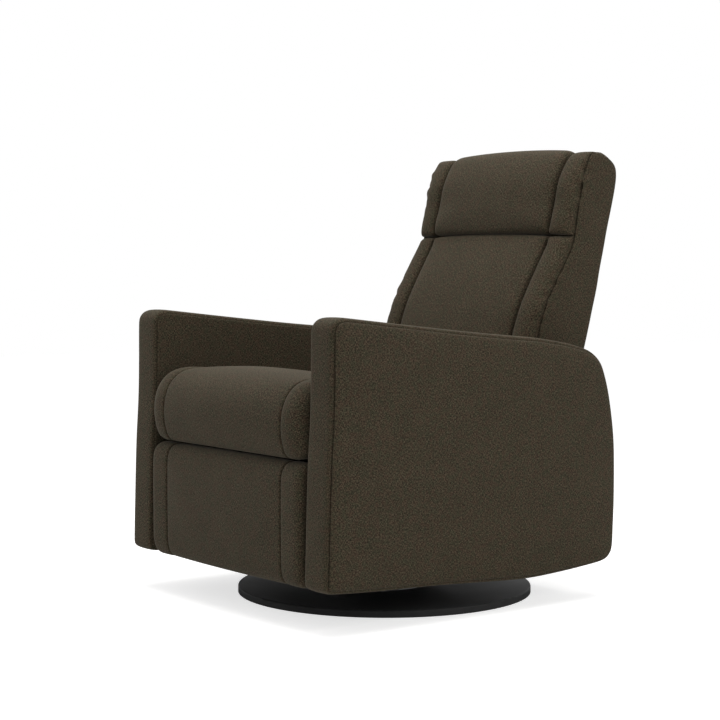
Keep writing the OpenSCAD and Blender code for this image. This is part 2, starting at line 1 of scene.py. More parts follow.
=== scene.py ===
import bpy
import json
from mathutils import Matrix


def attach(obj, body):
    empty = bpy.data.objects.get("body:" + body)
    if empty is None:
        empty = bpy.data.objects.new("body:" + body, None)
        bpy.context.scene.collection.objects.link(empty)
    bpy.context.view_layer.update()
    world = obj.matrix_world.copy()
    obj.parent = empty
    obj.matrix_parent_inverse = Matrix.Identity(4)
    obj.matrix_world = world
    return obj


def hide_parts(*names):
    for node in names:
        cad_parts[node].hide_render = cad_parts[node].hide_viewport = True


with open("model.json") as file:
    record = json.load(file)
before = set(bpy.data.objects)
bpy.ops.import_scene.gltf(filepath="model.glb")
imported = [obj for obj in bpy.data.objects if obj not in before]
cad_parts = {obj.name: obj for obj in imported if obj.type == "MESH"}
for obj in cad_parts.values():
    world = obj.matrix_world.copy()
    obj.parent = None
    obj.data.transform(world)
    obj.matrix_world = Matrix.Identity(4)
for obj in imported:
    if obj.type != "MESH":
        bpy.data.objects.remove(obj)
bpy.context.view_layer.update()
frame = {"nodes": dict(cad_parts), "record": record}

import json
import math
import bpy
import bmesh
from mathutils import Vector, noise

scene = bpy.context.scene
scene.view_settings.view_transform = "Standard"
sides = {"left": 1, "right": -1}  # the sitter's left is +X


# lines and rings

curveSteps = 12  # straight bits between two given points of an outline


def smoothRing(points, spacing, count=None):
    # a closed, even ring through the points (y, z), with count points or one every spacing
    n = len(points)
    dense = []
    for i in range(n):
        a, b, c, d = (Vector(points[(i + k) % n]) for k in (-1, 0, 1, 2))
        for k in range(curveSteps):
            t = k / curveSteps
            dense.append(0.5 * (2 * b + (c - a) * t + (2 * a - 5 * b + 4 * c - d) * t * t
                                + (3 * b - a - 3 * c + d) * t ** 3))
    dense.append(Vector(points[0]))
    lengths = [0]
    for a, b in zip(dense, dense[1:]):
        lengths.append(lengths[-1] + (b - a).length)
    count = count or max(4, round(lengths[-1] / spacing))
    ring, at = [], 0
    for k in range(count):
        want = lengths[-1] * k / count
        while at < len(lengths) - 2 and lengths[at + 1] < want:
            at += 1
        step = lengths[at + 1] - lengths[at]
        ring.append(dense[at].lerp(dense[at + 1], (want - lengths[at]) / step if step else 0))
    return ring


def outward(ring):
    # unit normals of a ring of (y, z), pointing out
    n = len(ring)
    area = sum(ring[i].x * ring[(i + 1) % n].y - ring[(i + 1) % n].x * ring[i].y for i in range(n))
    turn = 1 if area > 0 else -1
    found = []
    for i in range(n):
        way = (ring[(i + 1) % n] - ring[i - 1]).normalized()
        found.append(Vector((way.y, -way.x)) * turn)
    return found


def shiftRing(ring, amount):
    # the ring moved out by amount, one number or one for each point
    amounts = amount if isinstance(amount, list) else [amount] * len(ring)
    return [p + n * a for p, n, a in zip(ring, outward(ring), amounts)]


def nearestOn(line, p):
    # the spot of a line of points that is nearest to p
    best = None
    for a, b in zip(line, line[1:]):
        span = b - a
        t = max(0.0, min(1.0, (p - a).dot(span) / span.length_squared))
        spot = a + span * t
        if best is None or (p - spot).length < (p - best).length:
            best = spot
    return best


def middleOf(ring):
    return sum(ring, Vector((0, 0))) / len(ring)


def shrinkRing(ring, share, spine=None):
    # the ring drawn in towards its middle, or towards a line of points along the middle of a long shape
    if spine:
        line = [Vector(s) for s in spine]
        middles = [nearestOn(line, p) for p in ring]
    else:
        middles = [middleOf(ring)] * len(ring)
    return [m + (p - m) * share for m, p in zip(middles, ring)]


def mixRings(a, b, share):
    return [p.lerp(q, share) for p, q in zip(a, b)]


def loft(name, stations, merge=0.0):
    # one closed skin through stations (x, ring of (y, z)), drawn out one after the other
    # points of the end rings that are nearer to each other than merge become one
    digits = 7  # places by which a point is known again
    form = bmesh.new()
    x, ring = stations[0]
    verts = [form.verts.new((x, p.x, p.y)) for p in ring]
    edges = [form.edges.new(pair) for pair in zip(verts, verts[1:] + verts[:1])]
    form.faces.new(verts)
    ends = list(verts)
    for x, ring in stations[1:]:
        order = {v.co.to_tuple(digits): i for i, v in enumerate(verts)}
        grown = bmesh.ops.extrude_edge_only(form, edges=edges)["geom"]
        newVerts = [g for g in grown if isinstance(g, bmesh.types.BMVert)]
        verts = sorted(newVerts, key=lambda v: order[v.co.to_tuple(digits)])
        edges = [g for g in grown if isinstance(g, bmesh.types.BMEdge) and all(v in verts for v in g.verts)]
        for v, p in zip(verts, ring):
            v.co = (x, p.x, p.y)
    form.faces.new(verts)
    ends += verts
    if merge:
        bmesh.ops.remove_doubles(form, verts=ends, dist=merge)
    caps = [face for face in form.faces if len(face.verts) > 4]
    bmesh.ops.triangulate(form, faces=caps, quad_method="BEAUTY", ngon_method="BEAUTY")
    bmesh.ops.recalc_face_normals(form, faces=form.faces)
    return finishMesh(name, form)


def rank(part, count):
    # the place of an edge or face in a fixed order, from its three lowest points
    first, second, third = (sorted(v.index for v in part.verts) + [0])[:3]
    return (first * count + second) * count + third


def finishMesh(name, form):
    # extruding and spinning order their edges and faces differently in each run, so both are sorted
    form.verts.index_update()
    count = len(form.verts)
    for parts in (form.edges, form.faces):
        parts.sort(key=lambda part: rank(part, count))
    mesh = bpy.data.meshes.new(name)
    form.to_mesh(mesh)
    form.free()
    mesh.shade_smooth()
    piece = bpy.data.objects.new(name, mesh)
    scene.collection.objects.link(piece)
    return piece


def roundOff(piece):
    soft = piece.modifiers.new("soft", "SUBSURF")
    soft.levels = soft.render_levels = 1


def place(piece, body, slotName, material, *nodes):
    # the piece's finish, its body and the solids it stands for
    piece.data.materials.append(material)
    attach(piece, body)
    if nodes:
        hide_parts(*nodes)


# materials

def newMaterial(name, **values):
    material = bpy.data.materials.new(name)
    material.use_nodes = True
    shader = material.node_tree.nodes["Principled BSDF"]
    for socket, value in values.items():
        shader.inputs[socket.replace("_", " ")].default_value = value
    return material, material.node_tree, shader


def add(tree, kind, inputs=None, **options):
    node = tree.nodes.new(kind)
    for key, value in options.items():
        setattr(node, key, value)
    for key, value in (inputs or {}).items():
        if isinstance(value, bpy.types.NodeSocket):
            tree.links.new(value, node.inputs[key])
        else:
            node.inputs[key].default_value = value
    return node


def calc(tree, operation, a, b=0.0, c=0.0):
    return add(tree, "ShaderNodeMath", {0: a, 1: b, 2: c}, operation=operation).outputs[0]


def ramp(tree, value, stops):
    node = add(tree, "ShaderNodeValToRGB", {"Fac": value})
    spots = node.color_ramp.elements
    while len(spots) < len(stops):
        spots.new(0.5)
    for spot, (position, colour) in zip(spots, stops):
        spot.position = position
        spot.color = (*colour, 1)
    return node.outputs["Color"]


def noiseValue(tree, vector, scale, detail=2.0, **more):
    inputs = {"Vector": vector, "Scale": scale, "Detail": detail, **more}
    return add(tree, "ShaderNodeTexNoise", inputs).outputs["Fac"]


def blend(tree, a, b, share):
    # a where share is 0, b where it is 1
    rest = calc(tree, "SUBTRACT", 1.0, share)
    return calc(tree, "ADD", calc(tree, "MULTIPLY", a, rest), calc(tree, "MULTIPLY", b, share))


def mixColours(tree, share, a, b):
    return add(tree, "ShaderNodeMix", {0: share, 6: a, 7: b}, data_type="RGBA").outputs[2]


def setColour(tree, shader, value, stops):
    tree.links.new(ramp(tree, value, stops), shader.inputs["Base Color"])


def setBump(tree, shader, height, look):
    inputs = {"Strength": look["bumpStrength"], "Distance": look["bump"], "Height": height}
    tree.links.new(add(tree, "ShaderNodeBump", inputs).outputs[0], shader.inputs["Normal"])


def objectCoords(tree):
    return add(tree, "ShaderNodeTexCoord").outputs["Object"]


tweedLook = {
    "roughness": 0.92,
    "gloss": 0.18,
    "sheen": 0.12,
    "sheenRoughness": 0.45,
    "sheenTint": (0.80, 0.74, 0.62, 1),
    "yarnPitch": 0.0026,      # metres from one yarn to the next
    "fleckLength": 0.0040,
    "fleckWidth": 0.0011,
    "fleckGain": 0.76,
    "fleckShift": -0.26,
    "heatherScale": 90.0,     # of the change between brown and olive
    "cloudScale": 22.0,       # of the slow change in tone
    "cloudShare": 0.06,
    "dark": (0.0168, 0.0132, 0.0080),
    "brown": (0.0580, 0.0345, 0.0205),
    "olive": (0.0362, 0.0368, 0.0188),
    "light": (0.0980, 0.0790, 0.0515),
    "darkStops": (0.40, 0.50),
    "lightStops": (0.52, 0.66),
    "bump": 0.0004,
    "bumpStrength": 0.35,
    "weave": 0.10,            # how much the crossing yarns show beside the flecks
    "loose": 14.0,            # how far the yarns wander, in radians
    "sideways": 0.6,          # a face turned more than this to the side has its yarns run from front to back
}


def makeTweed():
    look = tweedLook
    black, white = (0, 0, 0), (1, 1, 1)
    material, tree, shader = newMaterial(
        "tweed", Roughness=look["roughness"], Specular_IOR_Level=look["gloss"], Sheen_Weight=look["sheen"],
        Sheen_Roughness=look["sheenRoughness"], Sheen_Tint=look["sheenTint"])
    coords = add(tree, "ShaderNodeTexCoord").outputs
    moved = {"Vector": coords["Object"], "Location": (2.0, 2.0, 2.0)}
    spot = add(tree, "ShaderNodeMapping", moved).outputs[0]
    at = add(tree, "ShaderNodeSeparateXYZ", {0: spot}).outputs
    facing = add(tree, "ShaderNodeSeparateXYZ", {0: coords["Normal"]}).outputs
    across, depth, height = (calc(tree, "ABSOLUTE", facing[k]) for k in range(3))
    onSide = calc(tree, "GREATER_THAN", across, look["sideways"])
    onTop = calc(tree, "GREATER_THAN", height, depth)
    flat = calc(tree, "MULTIPLY", onTop, calc(tree, "SUBTRACT", 1.0, onSide))
    # u runs across the chair, or from front to back on its sides; v runs up or back
    u = blend(tree, at[0], at[1], onSide)
    v = blend(tree, at[2], at[1], flat)

    def threads(perU, perV, layer):
        spots = {0: calc(tree, "MULTIPLY", u, perU), 1: calc(tree, "MULTIPLY", v, perV), 2: layer}
        return noiseValue(tree, add(tree, "ShaderNodeCombineXYZ", spots).outputs[0], 1.0, 1.0)

    long, short = 1 / look["fleckLength"], 1 / look["fleckWidth"]
    warp, weft = threads(short, long, 3.0), threads(long, short, 8.0)
    flecks = calc(tree, "MULTIPLY_ADD", calc(tree, "ADD", warp, weft), look["fleckGain"], look["fleckShift"])
    heather = noiseValue(tree, spot, look["heatherScale"], 4.0, Roughness=0.7)
    cloudy = noiseValue(tree, spot, look["cloudScale"])
    centred = calc(tree, "SUBTRACT", flecks, look["cloudShare"] / 2)
    shade = calc(tree, "MULTIPLY_ADD", cloudy, look["cloudShare"], centred)
    tone = ramp(tree, heather, [(0.40, look["brown"]), (0.60, look["olive"])])
    (darkest, darkEnd), (lightStart, lightest) = look["darkStops"], look["lightStops"]
    dim = ramp(tree, shade, [(darkest, white), (darkEnd, black)])
    lit = ramp(tree, shade, [(lightStart, black), (lightest, white)])
    body = mixColours(tree, dim, tone, (*look["dark"], 1))
    tree.links.new(mixColours(tree, lit, body, (*look["light"], 1)), shader.inputs["Base Color"])
    pitch = 2 * math.pi / look["yarnPitch"]
    loose = calc(tree, "MULTIPLY", flecks, look["loose"])
    rows, columns = (calc(tree, "SINE", calc(tree, "MULTIPLY_ADD", axis, pitch, loose)) for axis in (u, v))
    relief = calc(tree, "MULTIPLY_ADD", calc(tree, "MULTIPLY", rows, columns), look["weave"], flecks)
    setBump(tree, shader, relief, look)
    return material


coatLook = {"patches": 14.0, "uneven": 0.16, "darker": 0.82, "bump": 0.00006, "bumpStrength": 0.4}


def makeCoated(name, colour, roughness, metallic=0.0, grain=900.0, gloss=0.5):
    # a painted or plated metal, or a moulded part, with a fine grain and slightly uneven gloss
    look = coatLook
    material, tree, shader = newMaterial(name, Metallic=metallic, Specular_IOR_Level=gloss)
    coords = objectCoords(tree)
    broad = noiseValue(tree, coords, look["patches"], 4.0)
    patchy = calc(tree, "MULTIPLY_ADD", broad, look["uneven"], roughness - look["uneven"] / 2)
    tree.links.new(patchy, shader.inputs["Roughness"])
    setColour(tree, shader, broad, [(0.35, tuple(c * look["darker"] for c in colour)), (0.65, colour)])
    setBump(tree, shader, noiseValue(tree, coords, grain), look)
    return material


woodLook = {"stretch": (1.0, 9.0, 9.0), "swirl": 1.2, "bump": 0.0003, "bumpStrength": 0.3}


def makeWood(name, light, dark, ringScale):
    look = woodLook
    material, tree, shader = newMaterial(name, Roughness=0.62)
    inputs = {"Vector": objectCoords(tree), "Scale": look["stretch"]}
    stretched = add(tree, "ShaderNodeMapping", inputs).outputs[0]
    grain = noiseValue(tree, stretched, ringScale, 6.0, Distortion=look["swirl"])
    setColour(tree, shader, grain, [(0.35, dark), (0.62, light)])
    setBump(tree, shader, grain, look)
    return material


webbingLook = {
    "ribs": 160.0, "picks": 220.0, "wander": 0.4,
    "dark": (0.012, 0.012, 0.012), "light": (0.034, 0.033, 0.032),
    "bump": 0.0005, "bumpStrength": 0.5,
}


def makeWebbing():
    look = webbingLook
    material, tree, shader = newMaterial("elasticWebbing", Roughness=0.85)
    coords = objectCoords(tree)
    across = {"Vector": coords, "Scale": look["ribs"], "Distortion": look["wander"]}
    ribs = add(tree, "ShaderNodeTexWave", across, bands_direction="X").outputs["Fac"]
    aslant = {"Vector": coords, "Scale": look["picks"]}
    picks = add(tree, "ShaderNodeTexWave", aslant, bands_direction="DIAGONAL").outputs["Fac"]
    both = calc(tree, "MULTIPLY", ribs, picks)
    setColour(tree, shader, both, [(0.1, look["dark"]), (0.7, look["light"])])
    setBump(tree, shader, both, look)
    return material


# near-black fibre colours: a real lining cloth, darkened as painted shade for the gaps
gapShadeLook = {
    "fibres": 420.0, "dark": (0.010, 0.009, 0.008), "light": (0.020, 0.018, 0.015),
    "bump": 0.0002, "bumpStrength": 0.4,
}


def makeGapShadeLining():
    # thin cloth over the wood that shows in the gaps, made near black as painted shade there
    look = gapShadeLook
    material, tree, shader = newMaterial("gapShadeLiningCloth", Roughness=0.95, Specular_IOR_Level=0.15)
    fibres = noiseValue(tree, objectCoords(tree), look["fibres"], 4.0)
    setColour(tree, shader, fibres, [(0.35, look["dark"]), (0.65, look["light"])])
    setBump(tree, shader, fibres, look)
    return material


tweed = makeTweed()
gapShadeLining = makeGapShadeLining()
# boards seen in the gaps between the pads get the near-black lining, painted shade there
shadeLinedParts = ("seat_rail_front", "footrest_board", "arm_board_left", "arm_board_right")
finishes = {
    "base_metal": makeCoated("satinBlackBase", (0.047, 0.047, 0.0475), 0.55, gloss=0.08),
    "base_wood": makeWood("baseBoard", (0.13, 0.11, 0.09), (0.07, 0.06, 0.05), 8.0),
    "steel_black": makeCoated("blackPaintedSteel", (0.024, 0.024, 0.025), 0.38),
    "steel_zinc": makeCoated("zincPlatedSteel", (0.46, 0.46, 0.47), 0.34, metallic=1.0),
    "frame_wood": makeWood("birchPlywood", (0.56, 0.42, 0.27), (0.38, 0.26, 0.15), 9.0),
    "webbing": makeWebbing(),
    "upholstery": tweed,
    "lever_black": makeCoated("mouldedLever", (0.026, 0.026, 0.027), 0.5, grain=1400.0),
}
for part in frame["record"]["subparts"]:
    solid = frame["nodes"][part["node"]]
    solid.data.materials.clear()
    solid.data.materials.append(gapShadeLining if part["node"] in shadeLinedParts else finishes[part["material_slot"]])
print("materials made")


# cloth

filling = {"frames": 16, "pressure": 4.0, "tension": 18.0, "bending": 2.5, "quality": 6, "mass": 0.3}


def swell(piece, held, cap):
    # air pressure fills the cover, by cap at most, between the places where it is sewn or rests
    # held(point) says where those are
    mesh = piece.data
    start = [v.co.copy() for v in mesh.vertices]
    group = piece.vertex_groups.new(name="held")
    group.add([i for i, co in enumerate(start) if held(co)], 1.0, "REPLACE")
    cover = piece.modifiers.new("cover", "CLOTH")
    cloth = cover.settings
    cloth.quality = filling["quality"]
    cloth.mass = filling["mass"]
    cloth.tension_stiffness = cloth.compression_stiffness = filling["tension"]
    cloth.shear_stiffness = filling["tension"] / 2
    cloth.bending_stiffness = filling["bending"]
    cloth.use_pressure = True
    cloth.uniform_pressure_force = filling["pressure"]
    cloth.vertex_group_mass = "held"
    cloth.effector_weights.gravity = 0
    cover.point_cache.frame_start = 1
    cover.point_cache.frame_end = filling["frames"]
    for step in range(1, filling["frames"] + 1):
        scene.frame_set(step)
    settled = piece.evaluated_get(bpy.context.evaluated_depsgraph_get()).data
    ends = [v.co.copy() for v in settled.vertices]
    piece.modifiers.remove(cover)
    piece.vertex_groups.clear()
    scene.frame_set(1)
    moved = [b - a for a, b in zip(start, ends)]
    for v, a, m in zip(mesh.vertices, start, moved):
        if m.length > cap:
            m = m * (cap / m.length)
        v.co = a + m
    print(piece.name, "filled, furthest", round(1000 * max(m.length for m in moved), 1), "mm")


# rolled edges of pads: (distance in from the end, how far the skin stands out there)
rolls = {
    "seam": [(0.0, -0.0070), (0.0003, -0.0036), (0.0014, -0.0013), (0.0040, -0.0003), (0.0100, 0.0)],
    "deep": [(0.0, -0.0190), (0.0003, -0.0130), (0.0016, -0.0070), (0.0048, -0.0030), (0.0104, -0.0009),
             (0.0180, 0.0)],
    "soft": [(0.0, -0.0330), (0.0008, -0.0250), (0.0035, -0.0170), (0.0085, -0.0102), (0.0160, -0.0050),
             (0.0260, -0.0018), (0.0380, 0.0)],
    "edge": [(0.0, -0.0130), (0.0010, -0.0090), (0.0035, -0.0050), (0.0085, -0.0018), (0.0160, 0.0)],
}


def towards(ring, way, low=-0.1, high=0.5):
    # how much each point of a ring faces a way (y, z), from 0 to 1
    way = Vector(way).normalized()
    shares = []
    for n in outward(ring):
        t = max(0.0, min(1.0, (n.dot(way) - low) / (high - low)))
        shares.append(t * t * (3 - 2 * t))
    return shares


def valueAt(line, at):
    # a value read off a line of (place, value)
    if at <= line[0][0]:
        return line[0][1]
    for (a, va), (b, vb) in zip(line, line[1:]):
        if at <= b:
            return va + (vb - va) * (at - a) / (b - a)
    return line[-1][1]


meeting = {"least": 0.20, "flat": 0.004, "reach": 0.014}
crownPower = 0.8         # how fast a pad's crown falls off towards its seams
endShares = (0.25, 0.6)  # sizes of the rings inside the flat face at a pad's end


def besideCrease(ring, crease):
    # pads meet squarely at the crease, so their rolled ends grow only away from it
    least = meeting["least"]
    away = [max(0.0, abs(p.y - crease) - meeting["flat"]) for p in ring]
    return [min(1.0, least + (1 - least) * gap / meeting["reach"]) for gap in away]


def padStations(ring, x0, x1, startRoll, endRoll, form):
    # stations from x0 to x1: rolled at both ends, crowned between them where the ring faces form["way"]
    crown, spacing = form["crown"], form["spacing"]
    facing = towards(ring, form["way"])
    if "crownLine" in form:
        facing = [f * valueAt(form["crownLine"], p.x) for f, p in zip(facing, ring)]
    taken = besideCrease(ring, form["crease"]) if "crease" in form else [1.0] * len(ring)
    middle, half = (x0 + x1) / 2, (x1 - x0) / 2
    spots = [(x0 + d, out) for d, out in rolls[startRoll]]
    inner0, inner1 = spots[-1][0], x1 - rolls[endRoll][-1][0]
    count = max(1, round((inner1 - inner0) / spacing))
    spots += [(inner0 + (inner1 - inner0) * k / count, 0.0) for k in range(1, count)]
    spots += [(x1 - d, out) for d, out in reversed(rolls[endRoll])]
    stations = []
    for x, out in spots:
        rise = crown * (1 - ((x - middle) / half) ** 2) ** crownPower if abs(x - middle) < half else 0.0
        stations.append((x, shiftRing(ring, [out * t + rise * f for t, f in zip(taken, facing)])))
    return closeEnds(stations, form.get("spine"))


def closeEnds(stations, spine=None):
    start, end = ([(x, shrinkRing(edge, share, spine)) for share in endShares]
                  for x, edge in (stations[0], stations[-1]))
    return start + stations + end[::-1]


def finishPad(pad, body, nodes):
    roundOff(pad)
    place(pad, body, "upholstery", tweed, *nodes)


def buildPad(name, form, x0, x1, body, nodes, startRoll="seam", endRoll="seam"):
    ring = smoothRing(form["outline"], form["spacing"])
    pad = loft(name, padStations(ring, x0, x1, startRoll, endRoll, form))
    if "cap" in form:
        swell(pad, lambda co: form["held"](co) or min(co.x - x0, x1 - co.x) < form["seamHold"], form["cap"])
    finishPad(pad, body, nodes)


def buildSides(name, form, body, outerRoll):
    # the two rounded ends beside a pad's seams, with no filling of their own
    seam, half = form["seam"] + form["seamGap"], form["halfWidth"]
    flat = {key: value for key, value in dict(form, crown=form["sideCrown"]).items() if key != "cap"}
    buildPad(name + "SideLeft", flat, seam, half, body, [], "seam", outerRoll)
    buildPad(name + "SideRight", flat, -half, -seam, body, [], outerRoll, "seam")


# arms

armForm = {
    "inner": 0.2895, "outer": 0.3635, "spacing": 0.009, "merge": 0.004,
    "outline": [(-0.4030, 0.583), (-0.404, 0.500), (-0.406, 0.420), (-0.412, 0.319), (-0.416, 0.200),
                (-0.4185, 0.105), (-0.4165, 0.0955), (-0.409, 0.0905), (-0.385, 0.088), (-0.286, 0.083),
                (-0.158, 0.079), (-0.040, 0.073), (0.089, 0.067), (0.190, 0.071), (0.265, 0.077),
                (0.309, 0.0820), (0.328, 0.090), (0.337, 0.109), (0.340, 0.160), (0.342, 0.208),
                (0.342, 0.280), (0.340, 0.337), (0.333, 0.391), (0.322, 0.445), (0.308, 0.487),
                (0.2975, 0.505), (0.282, 0.519), (0.261, 0.530), (0.221, 0.541), (0.178, 0.549),
                (0.122, 0.557), (0.067, 0.562), (-0.041, 0.572), (-0.145, 0.583), (-0.245, 0.594),
                (-0.342, 0.605), (-0.373, 0.6080), (-0.389, 0.6058), (-0.399, 0.5975)],
    # beyond the outer seam: how far the panel stands out sideways, and how far in from the outline it is
    "panelEdge": [(-0.0018, -0.0100), (-0.0002, -0.0056), (0.0014, -0.0038), (0.0034, -0.0052),
                  (0.0054, -0.0095)],
    # then how far it stands out, and its size as a share
    "panelShares": [(0.0076, 0.94), (0.0097, 0.86), (0.0112, 0.74), (0.0122, 0.58), (0.0126, 0.42),
                    (0.0126, 0.26)],
    # across the band: distance from the seam, and how far the skin stands out
    "band": [(0.0016, -0.0100), (0.0018, -0.0044), (0.0024, -0.0004), (0.0042, 0.0020), (0.0084, 0.0034),
             (0.0190, 0.0042)],
    "bandMiddle": 0.0046,
    "innerEdge": [(-0.0018, -0.0100), (-0.0002, -0.0050), (0.0012, -0.0036), (0.0022, -0.0050),
                  (0.0025, -0.0095)],
    "innerShares": [(0.0027, 0.94), (0.0029, 0.86), (0.0030, 0.58), (0.0030, 0.26)],
    # the right arm is pressed flat where the release lever swings
    "dish": {"y": -0.205, "z": 0.352, "halfY": 0.085, "halfZ": 0.055, "depth": 0.3664, "soft": 0.150},
}
# the innermost rings of a panel grow round, so the middle closes without a mark: (size, roundness)
closing = {"reach": 0.12, "rings": [(0.055, 0.5), (0.030, 0.9), (0.012, 1.0)]}


def drawIn(arm, size, roundness):
    # an arm from the middle, drawn in to a size: as it was, or towards a circle
    return arm * (size / closing["reach"]) * (1 - roundness) + arm.normalized() * size * roundness


def endPanel(ring, x, side, edge, shares, spine=None):
    # one puffed panel of a closed box of cloth, from its seam at x to its middle
    rim = shiftRing(ring, edge[-1][1])
    rings = [(out, shiftRing(ring, inset)) for out, inset in edge]
    rings += [(out, shrinkRing(rim, share, spine)) for out, share in shares]
    if not spine:
        out, last = rings[-1]
        centre = middleOf(last)
        rings += [(out, [centre + drawIn(p - centre, *inner) for p in last]) for inner in closing["rings"]]
    return [(x + side * out, r) for out, r in rings]


def buildArm(sideName):
    form = armForm
    ring = smoothRing(form["outline"], form["spacing"])
    inner, outer = form["inner"], form["outer"]
    band = [(inner + x, out) for x, out in form["band"]] + [((inner + outer) / 2, form["bandMiddle"])]
    band += [(outer - x, out) for x, out in reversed(form["band"])]
    stations = endPanel(ring, inner, -1, form["innerEdge"], form["innerShares"])[::-1]
    stations += [(x, shiftRing(ring, out)) for x, out in band]
    stations += endPanel(ring, outer, 1, form["panelEdge"], form["panelShares"])
    stations = [(x * sides[sideName], r) for x, r in stations]
    arm = loft("arm" + sideName.title(), stations, form["merge"])
    if sideName == "right":
        dish = form["dish"]
        for v in arm.data.vertices:
            awayY = max(0, abs(v.co.y - dish["y"]) - dish["halfY"])
            awayZ = max(0, abs(v.co.z - dish["z"]) - dish["halfZ"])
            t = min(1.0, math.hypot(awayY, awayZ) / dish["soft"])
            if v.co.x < -dish["depth"]:
                v.co.x = -dish["depth"] + (v.co.x + dish["depth"]) * t * t * (3 - 2 * t)
    roundOff(arm)
    nodes = [part + sideName for part in ("arm_outer_panel_", "arm_inner_panel_", "arm_band_")]
    place(arm, "chassis", "upholstery", tweed, *nodes)


for sideName in sides:
    buildArm(sideName)
print("arms made")


# seat cushion

seatForm = {
    "halfWidth": 0.2795, "seam": 0.2195, "seamGap": 0.0008, "spacing": 0.010,
    "crown": 0.008, "way": (-0.35, 1.0),
    "sideCrown": 0.002,
    "crownLine": [(-0.335, 1.0), (-0.210, 0.3)],  # front to back, how much of the crown is left
    "cap": 0.007, "seamHold": 0.009,  # how far the filling lifts the cover, and the strip held by the seam
    "restLow": 0.3400, "restBack": 0.120,  # below and behind these the cover lies on the frame
    "outline": [(0.100, 0.3365), (-0.060, 0.3365), (-0.220, 0.3365), (-0.330, 0.3362), (-0.365, 0.3340),
                (-0.390, 0.3328), (-0.405, 0.3335), (-0.4155, 0.3405), (-0.4235, 0.3600), (-0.4275, 0.3830),
                (-0.428, 0.4030), (-0.424, 0.4320), (-0.411, 0.4590), (-0.388, 0.4795), (-0.358, 0.4875),
                (-0.325, 0.4872), (-0.280, 0.4840), (-0.200, 0.4760), (-0.100, 0.4625), (0.000, 0.4485),
                (0.080, 0.4370), (0.122, 0.4300), (0.138, 0.4180), (0.142, 0.4000), (0.141, 0.3650),
                (0.136, 0.3450)],
}


def buildSeat():
    form = seatForm
    half = form["seam"] - form["seamGap"]
    held = lambda co: co.z < form["restLow"] or co.y > form["restBack"]
    buildPad("seatCushion", dict(form, held=held), -half, half, "seat", ["seat_cushion"])
    buildSides("seat", form, "seat", "soft")


buildSeat()
print("seat cushion made")


# back

